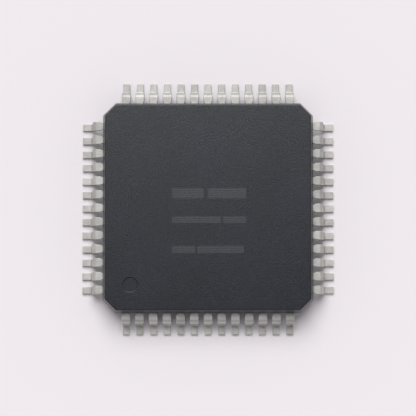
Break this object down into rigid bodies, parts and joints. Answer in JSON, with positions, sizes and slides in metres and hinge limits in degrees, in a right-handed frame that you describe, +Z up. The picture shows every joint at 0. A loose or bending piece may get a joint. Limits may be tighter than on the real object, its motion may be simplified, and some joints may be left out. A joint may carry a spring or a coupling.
{
  "type": "digital signal processor",
  "caption": "Square black moulded chip package with gull-wing metal leads along all four sides, for soldering flat onto a circuit board.",
  "frame": {"origin": "centre of the seating plane, under the middle of the body", "axes": "+Z up to the top face; the -Y side carries pin 1 at its -X end, and the pins count anticlockwise from above"},
  "size_m": [0.012, 0.012, 0.0015],
  "materials": {
    "mould_compound": "fine spark-eroded satin, black epoxy mould compound",
    "tin_plate": "matte tin plating on copper alloy",
    "frame_copper": "bare stamped copper alloy sheet",
    "silver_adhesive": "cured silver-filled epoxy",
    "silicon": "polished silicon under clear passivation",
    "gold_wire": "drawn gold"
  },
  "bodies": {
    "root": {"mould_body": "mould_compound", "die_paddle": "frame_copper", "die_attach": "silver_adhesive", "silicon_die": "silicon", "bond_wires_front": "gold_wire", "bond_wires_right": "gold_wire", "bond_wires_back": "gold_wire", "bond_wires_left": "gold_wire", "lead_01": "tin_plate", "lead_02": "tin_plate", "lead_03": "tin_plate", "lead_04": "tin_plate", "lead_05": "tin_plate", "lead_06": "tin_plate", "lead_07": "tin_plate", "lead_08": "tin_plate", "lead_09": "tin_plate", "lead_10": "tin_plate", "lead_11": "tin_plate", "lead_12": "tin_plate", "lead_13": "tin_plate", "lead_14": "tin_plate", "lead_15": "tin_plate", "lead_16": "tin_plate", "lead_17": "tin_plate", "lead_18": "tin_plate", "lead_19": "tin_plate", "lead_20": "tin_plate", "lead_21": "tin_plate", "lead_22": "tin_plate", "lead_23": "tin_plate", "lead_24": "tin_plate", "lead_25": "tin_plate", "lead_26": "tin_plate", "lead_27": "tin_plate", "lead_28": "tin_plate", "lead_29": "tin_plate", "lead_30": "tin_plate", "lead_31": "tin_plate", "lead_32": "tin_plate", "lead_33": "tin_plate", "lead_34": "tin_plate", "lead_35": "tin_plate", "lead_36": "tin_plate", "lead_37": "tin_plate", "lead_38": "tin_plate", "lead_39": "tin_plate", "lead_40": "tin_plate", "lead_41": "tin_plate", "lead_42": "tin_plate", "lead_43": "tin_plate", "lead_44": "tin_plate", "lead_45": "tin_plate", "lead_46": "tin_plate", "lead_47": "tin_plate", "lead_48": "tin_plate", "lead_49": "tin_plate", "lead_50": "tin_plate", "lead_51": "tin_plate", "lead_52": "tin_plate"}
  },
  "joints": []
}
